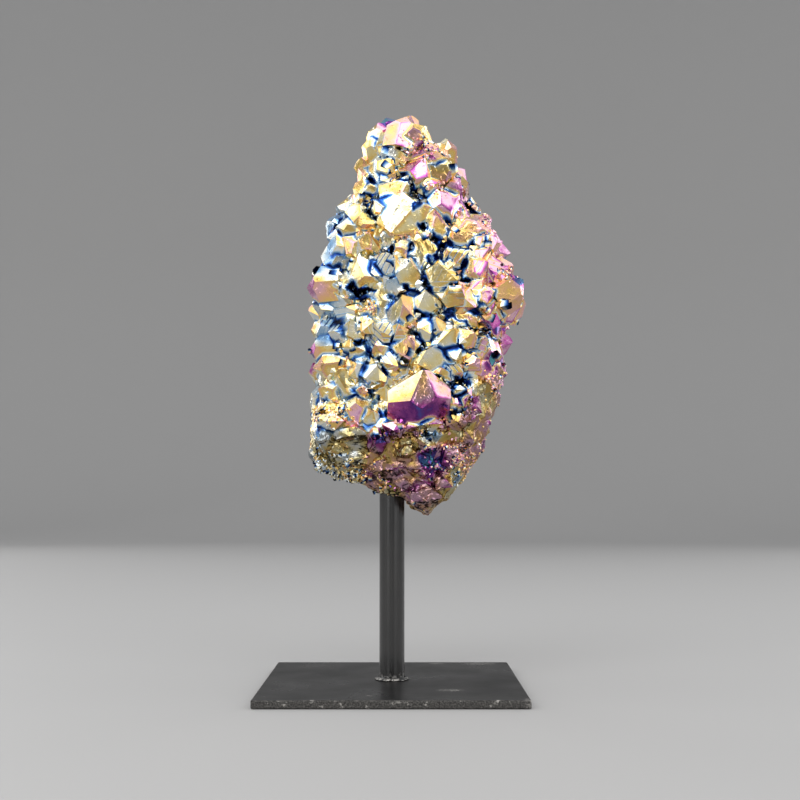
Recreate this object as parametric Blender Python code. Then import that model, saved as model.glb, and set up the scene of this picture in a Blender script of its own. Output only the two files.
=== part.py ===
"""Aura amethyst geode on a metal stand.

A druse of metal-coated quartz points on its rind, drilled underneath and set on a round steel post,
which is welded upright to a square steel plate. Metres, +Z up. The origin is the middle of the
plate's underside, -Y faces the viewer, and the post stands on the Z axis.
"""

import math
import random
from collections import namedtuple

import bmesh
import bpy
from mathutils import Matrix, Vector, noise

MM = 0.001
GOLDEN_TURN = math.pi * (3 - math.sqrt(5))

# Stand
PLATE_SIDE = 100 * MM
PLATE_THICK = 3 * MM
PLATE_EDGE = 0.4 * MM
POST_RADIUS = 5 * MM
POST_SIDES = 32
POST_EDGE = 0.5 * MM
POST_TOP = 100 * MM
BORE_CLEARANCE = 0.3 * MM
BORE_START = 40 * MM
GAP = 0.3 * MM
WELD_WIDTH = 1.5 * MM
WELD_HEIGHT = 1.3 * MM
WELD_SIDES = 24

# The weld's width swells round the post: how much, waves in a turn, where they start. Its shoulder is at
# these shares of its width and height.
WELD_SWELLS = [(0.12, 5, 0), (0.08, 9, 1)]
WELD_SHOULDER = (0.45, 0.65)

BEVEL_ANGLE = 40
SMOOTH_ANGLE = 35

# Stone: its outline seen from the front, as (x, z) in millimetres, clockwise from the summit
STONE_CENTRE = (7, 148)
STONE_OUTLINE = [
    (-1, 230), (8, 230.5), (16, 225.5), (22, 219.5), (26, 214), (28.5, 207), (31.5, 200), (34, 194.5),
    (39.5, 189.5), (45.5, 182), (48.5, 172), (53, 163), (53, 153.5), (50.5, 145), (48.5, 136), (46, 126),
    (44, 118.5), (42, 111), (40.5, 104), (39, 98), (36.5, 92), (33, 87), (29, 82.5), (24, 77),
    (19, 71), (13.5, 66.5), (9, 69), (5.5, 73), (-1, 76.5), (-8, 78.5), (-16, 81.5), (-24, 84),
    (-31, 85), (-32.5, 92), (-33, 104), (-34.5, 118), (-35, 127), (-34.5, 136), (-33, 145),
    (-36, 155), (-35, 164), (-30.5, 172), (-27.5, 181), (-24, 190), (-21.5, 197), (-19, 204), (-13, 211),
    (-9, 217), (-7.5, 224),
]
STONE_FRONT = 29
STONE_BACK = 27
STONE_SQUARENESS = 2.5
OUTERMOST_SHARE = 0.97
NORMAL_STEP = 2.0

# Crust: how deep the matrix lies under the points, and where the bare rind starts
CRUST_DEPTH = 6
RIND_DEPTH = 1.2
RIND_LINE = [(-40, 100), (18, 101), (26, 105), (33, 118), (44, 128)]
RIND_BLEND = 5
CRUST_BACK_EDGE = 9
MATRIX_DETAIL = 4
MATRIX_SEED = 3
MATRIX_JITTER = 0.5

# The rind's relief in millimetres: size and height of its folds, of its ledges and of its grain
FOLD_SIZE, FOLD_HEIGHT = 15, 2.4
LEDGE_SIZE, LEDGE_HEIGHT = (9, 9, 5), 1.5
GRAIN_SIZE, GRAIN_HEIGHT = 3.3, 0.8

# Points grow where the crust's share is above the first, lumps where it is under the second
CRUST_FOR_POINTS = 0.75
CRUST_FOR_LUMPS = 0.2

# Quartz: the slope of a point's faces, how far a crystal's root goes below its tip, and how much wider
# than its seen face a point is, so that it grows into its neighbours. The points that fill the sides are
# smaller near the summit.
FACE_SLOPE = 1.08
ROOT_LENGTH = 14
ROOT_PER_RADIUS = 0.5
SPREAD = 1.14
FILL_SEED = 41
FILL_TRIES = 900
FILL_RADIUS = (4.6, 8)
FILL_SPACING = 0.95
SUMMIT_START = 204
SUMMIT_SHARE = 0.7

# How a listed point is finished: its faces are cut back at random, the front one mostly to be the
# largest, and its tip stands off the middle of its seen face
FRONT_CUTS = (0.02, 0.3)
OTHER_CUTS = (0, 0.3)
STRETCH = (1, 1.5)
SIDE_CUTS = (0, 0.3)
SIDE_LEAN = (5, 38)
SIDE_RISE = (-0.5, 2)
SIDE_FLATTENING = (1, 2.2, 0.45)
TIP_OFFSET = 1.17

# One point of the druse: the middle of the face turned to the viewer, in millimetres, the radius of
# its prism, the side that its tip leans to, in degrees clockwise from straight up, how far it leans,
# and how deep it sits under the stone's outer form
Point = namedtuple("Point", "x z radius side lean sink", defaults=(0,))

SUMMIT = [
    Point(4.5, 223, 4, 10, 62, -1.6), Point(11.5, 220.5, 4.4, 50, 52, -2), Point(17.5, 214, 4, 60, 44),
    Point(-4.5, 219, 3.2, 330, 45), Point(-6.5, 213, 3.2, 300, 40), Point(12.6, 207.5, 7.4, 20, 42),
    Point(20.8, 208.5, 4.5, 80, 46), Point(24.5, 204, 3.4, 90, 46), Point(-12.4, 205, 5, 300, 45),
    Point(-2.3, 206.5, 3.6, 60, 40), Point(-1.1, 202.3, 3.4, 60, 35, 1), Point(-13.7, 198, 4.2, 290, 45),
    Point(-13.3, 192.5, 3.2, 180, 30),
]
UPPER = [
    Point(2.4, 197.5, 6.8, 50, 38), Point(-6.8, 189, 3.2, 330, 35), Point(0.5, 181.6, 8.6, 190, 42, -1),
    Point(10.1, 190.3, 4.6, 20, 8, 4), Point(13.9, 196, 3, 200, 30, 2), Point(17.7, 197.5, 3.4, 90, 30),
    Point(25.8, 193, 5.6, 60, 42), Point(27.4, 199.5, 3.4, 40, 45), Point(18.5, 185, 7, 340, 30),
    Point(14.6, 173.8, 5, 0, 10, 5), Point(-17.9, 187.3, 4.4, 290, 40), Point(-12.4, 184.2, 3.2, 0, 35),
    Point(-21.5, 181.4, 3.8, 280, 40), Point(-19.8, 174.8, 4.6, 320, 32), Point(-14.1, 176.4, 4.6, 10, 30),
    Point(-9.5, 175.5, 3.6, 40, 30), Point(-15.2, 165, 6.4, 0, 38), Point(-25.5, 174, 3.6, 285, 45),
    Point(-26.4, 168, 3.6, 270, 45), Point(-6.8, 161.8, 3.4, 220, 35, 1), Point(-0.6, 166, 4.4, 30, 38),
    Point(0.2, 157.5, 3.8, 300, 30, 1), Point(6.6, 163.4, 5.6, 30, 35), Point(4.7, 171, 3, 120, 30, 2),
    Point(30, 176.4, 4.6, 60, 32), Point(36, 177.4, 4.4, 50, 35), Point(37.5, 184, 4.4, 40, 46),
    Point(43.6, 175.8, 3.2, 90, 48), Point(36.7, 170.8, 3.6, 60, 35), Point(28.4, 169.8, 5.4, 70, 36),
    Point(22.9, 166, 3.4, 240, 25, 1),
]
MIDDLE = [
    Point(-21.9, 158.3, 4.2, 270, 30), Point(-31.5, 157.5, 4.6, 270, 48, -2), Point(-23.4, 152.6, 4.4, 0, 30),
    Point(36.6, 164.6, 4.6, 60, 40), Point(35.6, 158, 5.2, 30, 40), Point(22.2, 159.5, 6.2, 110, 34),
    Point(26.7, 151.3, 4.8, 140, 36), Point(32.9, 149.8, 4.6, 160, 36), Point(38.5, 153.4, 4, 60, 40),
    Point(38.5, 147.5, 3.6, 180, 40), Point(44.6, 149.3, 4.2, 0, 35), Point(49.5, 157.5, 4.4, 60, 50, -3),
    Point(43.3, 165.5, 4.6, 80, 45), Point(13.5, 151.7, 5, 0, 34), Point(5.1, 148.2, 6.6, 345, 34),
    Point(17.2, 142, 3.4, 0, 32), Point(11.9, 139.4, 3.2, 270, 32), Point(23.6, 135.6, 6.4, 20, 40),
    Point(31.2, 136.4, 3.6, 30, 35), Point(37.4, 135.2, 4.4, 0, 42), Point(35.8, 130.6, 4.6, 200, 40),
    Point(42, 129.4, 3.8, 90, 45), Point(40.6, 141.3, 3.4, 200, 40), Point(-9.7, 147, 6.4, 60, 30),
    Point(-21.5, 146.3, 5.6, 310, 35), Point(-16.6, 141.6, 4.6, 40, 35), Point(-24.2, 139.4, 4.8, 270, 35),
    Point(-11.6, 139.8, 4, 200, 32), Point(-17, 131.7, 5.4, 330, 18, 1), Point(-5.2, 139, 5, 320, 34),
    Point(3.2, 138.2, 6.6, 0, 38), Point(-31.5, 142, 3.8, 280, 48), Point(-31.5, 150, 3.8, 270, 48),
    Point(-32, 133, 4.2, 270, 48),
]
LOWER = [
    Point(16, 129.8, 5.2, 0, 38), Point(25.2, 128.3, 3.2, 180, 32), Point(34.6, 124.8, 3, 150, 40),
    Point(39, 124, 3.2, 110, 45), Point(25.9, 122.2, 5.2, 90, 36), Point(19.5, 122.2, 4, 0, 36),
    Point(15.3, 117.2, 3.6, 0, 34, -1), Point(22.1, 115, 3.6, 0, 30), Point(27.8, 116, 3.2, 60, 30),
    Point(28.6, 110.5, 3.4, 180, 42), Point(24.8, 108.4, 3, 200, 40), Point(-3.3, 131, 5.6, 300, 34),
    Point(5.8, 129.4, 6.2, 150, 38), Point(0.9, 125.6, 4.8, 130, 32), Point(-21.5, 120.2, 6, 0, 34),
    Point(-14.6, 124.8, 3.6, 20, 30, 1), Point(-6.7, 123.7, 4.6, 20, 38),
    Point(-7.4, 117.6, 3.6, 180, 30, 1), Point(-13.5, 116, 4.4, 30, 12, 2), Point(-27.9, 116, 4.6, 300, 38),
    Point(-29, 108.4, 4.2, 270, 40), Point(-20.7, 107.7, 5.6, 0, 30), Point(-13.9, 105, 3.8, 180, 40),
    Point(-7, 105.7, 3.8, 20, 38), Point(-30.5, 126, 4.2, 265, 46),
]
IN_THE_RIND = [
    Point(20.9, 100, 3, 0, 40), Point(14.9, 98.6, 3.4, 180, 40, 1), Point(15.7, 89, 5.6, 180, 42),
    Point(19.5, 83, 4, 160, 46), Point(3.9, 82.5, 3.4, 0, 35), Point(13, 78.5, 3.8, 90, 40),
    Point(22.9, 84, 3, 100, 40), Point(-24.1, 95, 3.4, 0, 30), Point(-24.5, 90.6, 3.2, 180, 38),
    Point(-4, 97.5, 4, 330, 30),
]

# The one large point low on the front: its tip, its prism and its lean
GREAT_TIP = Vector((11, -31, 126.5))
GREAT_RADIUS = 12
GREAT_SLOPE = 0.92
GREAT_LEAN = 50
GREAT_SIDEWAYS = 0.06
GREAT_ROOT = 26
GREAT_CUTS = (0, 0, 0.1, 0.3, 0.25, 0.12)

# Lumps of broken rind: the middle seen from the front and its depth, half width, half height, in mm
Lump = namedtuple("Lump", "x z wide high sink", defaults=(0,))

RIND_LUMPS = [
    Lump(-6, 96, 5, 7), Lump(-16, 99, 8, 4), Lump(-4, 86, 6, 6), Lump(-17, 90, 9, 6, 1), Lump(-27, 97, 5, 7),
    Lump(-28, 88, 4, 4), Lump(5, 92, 6, 4), Lump(14, 94, 5, 6), Lump(5, 79, 6, 5), Lump(13, 75, 7, 5),
    Lump(21, 81, 5, 6), Lump(24, 91, 6, 6), Lump(30, 98, 5, 7), Lump(33, 108, 4, 8), Lump(-13, 83, 5, 4),
    Lump(1, 101, 7, 4), Lump(12, 103, 8, 4), Lump(25, 104, 6, 4), Lump(38, 117, 4, 6), Lump(-24, 104, 8, 4),
]
BACK_LUMPS = 20
BACK_LUMP_SIZE = (5, 11)
BACK_LUMP_REACH = 0.95
BACK_LUMP_SINK = (0.3, 0.7)
BACK_FLATTENING = (1, 2, 0.5)
LUMP_THICKNESS = 5
LUMP_SINK = 0.4
LUMP_JITTER = 0.22
LUMP_SEED = 12

PAINT = dict(color=(0.02, 0.02, 0.021), metallic=0.0, roughness=0.38)
WELD = dict(color=(0.35, 0.34, 0.33), metallic=0.9, roughness=0.4)
AURA = dict(color=(0.62, 0.55, 0.38), metallic=0.9, roughness=0.25)


def clear_scene():
    for obj in list(bpy.data.objects):
        bpy.data.objects.remove(obj)


def make_material(name, color, metallic, roughness):
    material = bpy.data.materials.new(name)
    material.use_nodes = True
    shader = material.node_tree.nodes["Principled BSDF"]
    shader.inputs["Base Color"].default_value = (*color, 1)
    shader.inputs["Metallic"].default_value = metallic
    shader.inputs["Roughness"].default_value = roughness
    return material


def add_object(name, bm, material=None):
    bmesh.ops.recalc_face_normals(bm, faces=bm.faces)
    mesh = bpy.data.meshes.new(name)
    bm.to_mesh(mesh)
    bm.free()
    obj = bpy.data.objects.new(name, mesh)
    bpy.context.scene.collection.objects.link(obj)
    if material:
        mesh.materials.append(material)
    return obj


def add_bevel(obj, width, segments=2):
    bevel = obj.modifiers.new("edge", "BEVEL")
    bevel.width = width
    bevel.segments = segments
    bevel.limit_method = "ANGLE"
    bevel.angle_limit = math.radians(BEVEL_ANGLE)


def make_helper(obj):
    obj.hide_render = True
    obj.display_type = "WIRE"


def build_plate():
    bm = bmesh.new()
    size = (PLATE_SIDE, PLATE_SIDE, PLATE_THICK)
    bmesh.ops.create_cube(bm, size=1, matrix=Matrix.Diagonal((*size, 1)))
    plate = add_object("base_plate", bm, make_material("black_paint", **PAINT))
    plate.location.z = PLATE_THICK / 2
    add_bevel(plate, PLATE_EDGE)


def build_post():
    length = POST_TOP - PLATE_THICK - GAP
    bm = bmesh.new()
    bmesh.ops.create_cone(
        bm, cap_ends=True, segments=POST_SIDES, radius1=POST_RADIUS, radius2=POST_RADIUS, depth=length
    )
    post = add_object("post", bm, make_material("post_paint", **PAINT))
    post.location.z = POST_TOP - length / 2
    add_bevel(post, POST_EDGE, 1)
    post.data.shade_smooth()
    post.data.set_sharp_from_angle(angle=math.radians(SMOOTH_ANGLE))


def build_weld():
    """The fillet of weld metal round the post's foot: a ring of three-cornered section, a little uneven."""
    bm = bmesh.new()
    rings = []
    for i in range(WELD_SIDES):
        turn = math.tau * i / WELD_SIDES
        swell = 1 + sum(share * math.sin(waves * turn + start) for share, waves, start in WELD_SWELLS)
        inner = POST_RADIUS + GAP
        across, up = WELD_SHOULDER
        section = [
            (inner, GAP),
            (inner + WELD_WIDTH * swell, GAP),
            (inner + across * WELD_WIDTH * swell, up * WELD_HEIGHT),
            (inner, WELD_HEIGHT * swell),
        ]
        rings.append(
            [bm.verts.new((r * math.cos(turn), r * math.sin(turn), PLATE_THICK + h)) for r, h in section]
        )
    for ring, following in zip(rings, rings[1:] + rings[:1]):
        for i in range(len(ring)):
            j = (i + 1) % len(ring)
            bm.faces.new((ring[i], following[i], following[j], ring[j]))
    add_object("weld_bead", bm, make_material("weld_metal", **WELD))


def outline_radius(angle):
    """How far the stone's outline is from its centre, in that direction of the front view."""
    centre = Vector(STONE_CENTRE)
    ray = Vector((math.cos(angle), math.sin(angle)))
    farthest = 0.0
    for start, end in zip(STONE_OUTLINE, STONE_OUTLINE[1:] + STONE_OUTLINE[:1]):
        a, edge = Vector(start) - centre, Vector(end) - Vector(start)
        across = ray.cross(edge)
        if abs(across) < 1e-9:
            continue
        along, share = a.cross(edge) / across, a.cross(ray) / across
        if along > 0 and -1e-6 <= share <= 1 + 1e-6:
            farthest = max(farthest, along)
    return farthest


def stone_surface(direction, inset):
    """The point of the stone's outer form in a direction from its centre, moved in by inset."""
    angle = math.atan2(direction.z, direction.x)
    flat = math.hypot(direction.x, direction.z)
    power = 2 / STONE_SQUARENESS
    radius = (outline_radius(angle) - inset) * flat**power
    depth = STONE_BACK if direction.y > 0 else STONE_FRONT
    y = math.copysign((depth - inset) * abs(direction.y) ** power, direction.y)
    x = STONE_CENTRE[0] + radius * math.cos(angle)
    return Vector((x, y, STONE_CENTRE[1] + radius * math.sin(angle)))


def front_depth(x, z):
    """y of the outer form's front at a place of the front view."""
    dx, dz = x - STONE_CENTRE[0], z - STONE_CENTRE[1]
    share = math.hypot(dx, dz) / outline_radius(math.atan2(dz, dx))
    return -STONE_FRONT * (1 - min(share, OUTERMOST_SHARE) ** STONE_SQUARENESS) ** (1 / STONE_SQUARENESS)


def front_normal(x, z):
    step = NORMAL_STEP
    slope_x = (front_depth(x + step, z) - front_depth(x - step, z)) / (2 * step)
    slope_z = (front_depth(x, z + step) - front_depth(x, z - step)) / (2 * step)
    return Vector((slope_x, -1, slope_z)).normalized()


def rind_line(x):
    """The height under which the rind is bare, at x."""
    for (x0, z0), (x1, z1) in zip(RIND_LINE, RIND_LINE[1:]):
        if x <= x1:
            return z0 + (z1 - z0) * max(0, x - x0) / (x1 - x0)
    return RIND_LINE[-1][1]


def smooth_step(value):
    value = min(1, max(0, value))
    return value * value * (3 - 2 * value)


def crust_share(place):
    """1 where points cover the stone, 0 on its bare rind."""
    above = smooth_step((place.z - rind_line(place.x)) / RIND_BLEND)
    in_front = smooth_step((CRUST_BACK_EDGE + RIND_BLEND - place.y) / RIND_BLEND)
    return above * in_front


def rind_relief(place):
    """Height of the rind's lumps, ledges and broken grain, in millimetres."""
    folds = 1 - 2 * abs(noise.noise(place / FOLD_SIZE))
    ledges = noise.noise(Vector([along / size for along, size in zip(place, LEDGE_SIZE)]))
    grain = noise.noise(place / GRAIN_SIZE)
    return FOLD_HEIGHT * folds + LEDGE_HEIGHT * ledges + GRAIN_HEIGHT * grain


def build_matrix():
    """The stone without its points: rind at the back and foot, sunk under the crust elsewhere."""
    bm = bmesh.new()
    bmesh.ops.create_icosphere(bm, subdivisions=MATRIX_DETAIL, radius=1)
    jitter = random.Random(MATRIX_SEED)
    for vert in bm.verts:
        direction = vert.co.normalized()
        outer = stone_surface(direction, 0)
        crust = crust_share(outer)
        relief = rind_relief(outer) * (1 - crust) + jitter.uniform(-MATRIX_JITTER, MATRIX_JITTER)
        inset = CRUST_DEPTH * crust + RIND_DEPTH * (1 - crust) - relief
        vert.co = stone_surface(direction, inset) * MM
    return bm


def quartz_point(radius, root, slope, cuts, stretch=1):
    """A six-sided prism with a six-faced tip at the origin, pointing along +Z. Face 0 is towards +X,
    cuts says how far each face is moved in, as a share of the radius, and stretch how many times wider
    the point is along Y."""
    bm = bmesh.new()
    corner = radius / math.cos(math.pi / 6)
    depth = root + radius
    place = Matrix.Translation((0, 0, (radius - root) / 2)) @ Matrix.Rotation(math.pi / 6, 4, "Z")
    bmesh.ops.create_cone(
        bm, cap_ends=True, segments=6, radius1=corner, radius2=corner, depth=depth, matrix=place
    )
    tilt = math.atan(slope)
    for k, cut in enumerate(cuts):
        turn = math.tau * k / 6
        normal = Vector((math.cos(turn) * math.sin(tilt), math.sin(turn) * math.sin(tilt), math.cos(tilt)))
        whole = list(bm.verts) + list(bm.edges) + list(bm.faces)
        made = bmesh.ops.bisect_plane(
            bm, geom=whole, dist=1e-5, plane_co=normal * (-cut * radius), plane_no=normal, clear_outer=True
        )
        rim = [e for e in made["geom_cut"] if isinstance(e, bmesh.types.BMEdge)]
        bmesh.ops.edgeloop_fill(bm, edges=[e for e in rim if e.is_boundary])
    bm.transform(Matrix.Diagonal((1, stretch, 1, 1)))
    return bm


def stand_point(bm, tip, axis, face_side):
    """Moves a point's mesh so that its tip, axis and face 0 are where they should be."""
    side = (face_side - axis * face_side.dot(axis)).normalized()
    turn = Matrix((side, axis.cross(side), axis)).transposed().to_4x4()
    bm.transform(Matrix.Scale(MM, 4) @ Matrix.Translation(tip) @ turn)


def add_points(druse, points, chance):
    """The listed points of the front."""
    for point in points:
        normal = front_normal(point.x, point.z)
        centre = Vector((point.x, front_depth(point.x, point.z), point.z)) - normal * point.sink
        side = math.radians(point.side)
        lean_to = Vector((math.sin(side), 0, math.cos(side)))
        lean_to = (lean_to - normal * lean_to.dot(normal)).normalized()
        lean = math.radians(point.lean)
        axis = normal * math.cos(lean) + lean_to * math.sin(lean)
        tip = centre + lean_to * (TIP_OFFSET * point.radius * math.sin(lean))
        cuts = [chance.uniform(*FRONT_CUTS)] + [chance.uniform(*OTHER_CUTS) for _ in range(5)]
        stretch = chance.uniform(*STRETCH)
        root = ROOT_LENGTH + ROOT_PER_RADIUS * point.radius
        bm = quartz_point(SPREAD * point.radius, root, FACE_SLOPE, cuts, stretch)
        stand_point(bm, tip, axis, -lean_to)
        druse.append(bm)


def lump_of_rind(place, normal, wide, high, chance):
    """A flattened, broken lump lying on the stone."""
    bm = bmesh.new()
    bmesh.ops.create_icosphere(bm, subdivisions=1, radius=1)
    for vert in bm.verts:
        vert.co *= 1 + chance.uniform(-LUMP_JITTER, LUMP_JITTER)
    across = Vector((0, 0, 1)).cross(normal).normalized()
    turn = Matrix((across, normal.cross(across), normal)).transposed().to_4x4()
    size = Matrix.Diagonal((wide, high, LUMP_THICKNESS, 1))
    bm.transform(Matrix.Scale(MM, 4) @ Matrix.Translation(place) @ turn @ size)
    return bm


def add_lumps(lumps):
    """The rind's lumps: the listed ones of the front, and more where the stone is turned away."""
    chance = random.Random(LUMP_SEED)
    for lump in RIND_LUMPS:
        normal = front_normal(lump.x, lump.z)
        depth = LUMP_THICKNESS * LUMP_SINK + lump.sink
        place = Vector((lump.x, front_depth(lump.x, lump.z), lump.z)) - normal * depth
        lumps.append(lump_of_rind(place, normal, lump.wide, lump.high, chance))
    for n in range(BACK_LUMPS):
        depth = 1 - (n + 0.5) / BACK_LUMPS * BACK_LUMP_REACH
        turn = n * GOLDEN_TURN
        ring = math.sqrt(1 - depth * depth)
        direction = Vector((ring * math.cos(turn), depth, ring * math.sin(turn)))
        outer = stone_surface(direction, 0)
        if crust_share(outer) > CRUST_FOR_LUMPS:
            continue
        wide, high = chance.uniform(*BACK_LUMP_SIZE), chance.uniform(*BACK_LUMP_SIZE)
        normal = (direction * Vector(BACK_FLATTENING)).normalized()
        place = outer - normal * LUMP_THICKNESS * chance.uniform(*BACK_LUMP_SINK)
        lumps.append(lump_of_rind(place, normal, wide, high, chance))


def add_great_point(druse):
    lean = math.radians(GREAT_LEAN)
    axis = Vector((GREAT_SIDEWAYS, -math.cos(lean), math.sin(lean))).normalized()
    bm = quartz_point(GREAT_RADIUS, GREAT_ROOT, GREAT_SLOPE, GREAT_CUTS)
    stand_point(bm, GREAT_TIP, axis, Vector((0, 0, -1)))
    druse.append(bm)


def add_side_points(druse, taken, chance):
    """Points that cover the sides and the edge of the crust, wherever there is room for one."""
    for n in range(FILL_TRIES):
        height = 1 - 2 * (n + 0.5) / FILL_TRIES
        turn = n * GOLDEN_TURN
        ring = math.sqrt(1 - height * height)
        direction = Vector((ring * math.cos(turn), height, ring * math.sin(turn)))
        outer = stone_surface(direction, 0)
        if crust_share(outer) < CRUST_FOR_POINTS:
            continue
        radius = chance.uniform(*FILL_RADIUS)
        if outer.z > SUMMIT_START:
            radius *= SUMMIT_SHARE
        if any((outer - place).length < FILL_SPACING * (radius + size) for place, size in taken):
            continue
        around = outer - Vector((STONE_CENTRE[0], 0, STONE_CENTRE[1]))
        normal = (around * Vector(SIDE_FLATTENING)).normalized()
        lean_to = normal.cross(Vector([chance.uniform(-1, 1) for _ in range(3)])).normalized()
        lean = math.radians(chance.uniform(*SIDE_LEAN))
        axis = normal * math.cos(lean) + lean_to * math.sin(lean)
        cuts = [chance.uniform(*SIDE_CUTS) for _ in range(6)]
        bm = quartz_point(radius, ROOT_LENGTH, FACE_SLOPE, cuts, chance.uniform(*STRETCH))
        stand_point(bm, outer + normal * chance.uniform(*SIDE_RISE), axis, -lean_to)
        druse.append(bm)
        taken.append((outer, radius))


def fill_pockets(obj):
    """Applies the modifiers and drops all but the outer shell: neighbouring points can close off a
    tiny pocket between them."""
    graph = bpy.context.evaluated_depsgraph_get()
    mesh = bpy.data.meshes.new_from_object(obj.evaluated_get(graph))
    obj.modifiers.clear()
    obj.data = mesh
    bm = bmesh.new()
    bm.from_mesh(mesh)
    shells = []
    left = set(bm.verts)
    while left:
        shell, edge = set(), {left.pop()}
        while edge:
            shell |= edge
            edge = {e.other_vert(v) for v in edge for e in v.link_edges} - shell
        left -= shell
        shells.append(shell)
    outer = max(shells, key=len)
    bmesh.ops.delete(bm, geom=[v for v in bm.verts if v not in outer], context="VERTS")
    bm.to_mesh(mesh)
    bm.free()


def build_geode():
    chance = random.Random(FILL_SEED)
    points = SUMMIT + UPPER + MIDDLE + LOWER + IN_THE_RIND
    druse = []
    add_points(druse, points, chance)
    add_great_point(druse)
    taken = [(Vector((p.x, front_depth(p.x, p.z), p.z)), p.radius) for p in points]
    taken.append((GREAT_TIP, GREAT_RADIUS))
    add_side_points(druse, taken, chance)
    add_lumps(druse)

    geode = add_object("geode", build_matrix(), make_material("aura_quartz", **AURA))
    helpers = bpy.data.collections.new("points")
    bpy.context.scene.collection.children.link(helpers)
    for n, bm in enumerate(druse):
        point = add_object(f"point_{n:03d}", bm)
        bpy.context.scene.collection.objects.unlink(point)
        helpers.objects.link(point)
        make_helper(point)
    helpers.hide_render = True

    grow = geode.modifiers.new("points", "BOOLEAN")
    grow.operation = "UNION"
    grow.operand_type = "COLLECTION"
    grow.collection = helpers
    grow.solver = "EXACT"

    drill = bmesh.new()
    radius = POST_RADIUS + BORE_CLEARANCE
    low, high = BORE_START, POST_TOP + GAP
    bmesh.ops.create_cone(
        drill, cap_ends=True, segments=POST_SIDES, radius1=radius, radius2=radius, depth=high - low,
        matrix=Matrix.Translation((0, 0, (low + high) / 2)),
    )
    bore = add_object("bore_cutter", drill)
    make_helper(bore)
    cut = geode.modifiers.new("bore", "BOOLEAN")
    cut.operation = "DIFFERENCE"
    cut.object = bore
    cut.solver = "EXACT"
    fill_pockets(geode)


def main():
    clear_scene()
    build_plate()
    build_post()
    build_weld()
    build_geode()


main()
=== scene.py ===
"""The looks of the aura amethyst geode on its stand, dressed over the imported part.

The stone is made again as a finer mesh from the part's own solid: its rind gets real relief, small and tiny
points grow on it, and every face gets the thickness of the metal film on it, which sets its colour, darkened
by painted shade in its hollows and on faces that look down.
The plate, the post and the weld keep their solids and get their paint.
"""

import math

import bmesh
import bpy
import numpy as np
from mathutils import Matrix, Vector, noise
from mathutils.bvhtree import BVHTree
from mathutils.kdtree import KDTree


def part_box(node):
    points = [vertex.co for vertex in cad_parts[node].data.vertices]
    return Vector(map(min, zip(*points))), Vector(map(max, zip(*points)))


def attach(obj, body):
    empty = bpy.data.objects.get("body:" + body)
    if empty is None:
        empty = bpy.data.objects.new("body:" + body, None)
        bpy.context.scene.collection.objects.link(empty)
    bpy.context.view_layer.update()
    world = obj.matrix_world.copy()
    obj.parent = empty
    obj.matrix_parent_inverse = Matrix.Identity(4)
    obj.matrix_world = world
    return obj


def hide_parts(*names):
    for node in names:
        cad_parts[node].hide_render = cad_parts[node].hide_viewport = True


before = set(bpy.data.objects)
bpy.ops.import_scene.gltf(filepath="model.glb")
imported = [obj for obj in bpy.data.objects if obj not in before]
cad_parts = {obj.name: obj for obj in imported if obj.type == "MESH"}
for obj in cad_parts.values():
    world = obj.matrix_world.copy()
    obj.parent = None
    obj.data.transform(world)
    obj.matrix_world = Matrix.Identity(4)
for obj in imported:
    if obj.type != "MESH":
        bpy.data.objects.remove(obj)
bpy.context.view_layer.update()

# Without this seed Blender's vector noise starts from the clock, and the grooves wander anew in each run
noise.seed_set(5)

MM = 0.001
BODY = "root"

# Camera, from the photograph's perspective, in millimetres, degrees and pixels of its 800 pixel frame
CAMERA_PLACE = (3.2, -493, 76)
CAMERA_PITCH = 4.4
FOCAL_PIXELS = 1227
FRAME_PIXELS = 800
SENSOR_WIDTH = 36

# Studio, in metres
FLOOR_GAP = 0.2 * MM
FLOOR_RINGS = (0.05, 0.15, 0.3, 0.5, 0.8, 1.1, 1.5)
FLOOR_SIDES = 96
FLOOR_COLOR = (0.40, 0.395, 0.39)
FLOOR_ROUGHNESS = 0.6
FLOOR_GLOSS = 0.2
SWEEP_RADIUS = 0.6
SWEEP_STEPS = 12
SWEEP_TOP = 1.35
SKY_COLOR = (0.93, 0.96, 1.0)
SKY_STRENGTH = 0.5
LIGHT_AIM = (0, 0, 0.13)

# Softboxes: name, place and size in metres, and power in watts
SOFTBOXES = [
    ("front_left", (-0.85, -1.15, 0.78), 1.1, 1.4, 8.5),
    ("front_right", (0.98, -1.15, 0.78), 0.9, 1.4, 6.5),
    ("left_panel", (-1.4, 0.0, 0.8), 1.2, 1.3, 6),
    ("right_panel", (1.4, 0.0, 0.8), 1.2, 1.3, 5),
    ("key_high", (-0.1, -1.0, 1.35), 1.3, 0.8, 8),
    ("overhead", (0.05, -0.05, 1.2), 1.1, 1.1, 4),
    ("back_left", (-0.9, 1.0, 0.6), 0.6, 0.8, 4),
    ("back_right", (1.0, 0.9, 0.5), 0.5, 0.8, 3),
]

# Noise of the materials: scale per metre, detail, roughness, and the stretch of it that counts
NOISES = {
    "film cloud": (300, 3, 0.5, 0.3, 0.7),
    "film speck": (2200, 2, 0.5, 0.35, 0.65),
    "film gloss": (260, 4, 0.6, 0.35, 0.65),
    "film steps": (330, 2, 0.5, 0.5, 0.62),
    "plate speckle": (1600, 4, 0.7, 0.42, 0.72),
    "plate edge wear": (300, 5, 0.65, 0.60, 0.68),
    "plate flakes": (1100, 4, 0.7, 0.46, 0.62),
    "plate mottle": (60, 5, 0.6, 0.3, 0.7),
    "plate smear": (35, 4, 0.5, 0.3, 0.7),
    "post mottle": (120, 4, 0.5, 0.3, 0.7),
    "post chips": (700, 4, 0.6, 0.50, 0.60),
    "post grain": (1500, 3, 0.6, 0.3, 0.7),
    "weld paint": (620, 4, 0.6, 0.40, 0.55),
}

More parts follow.
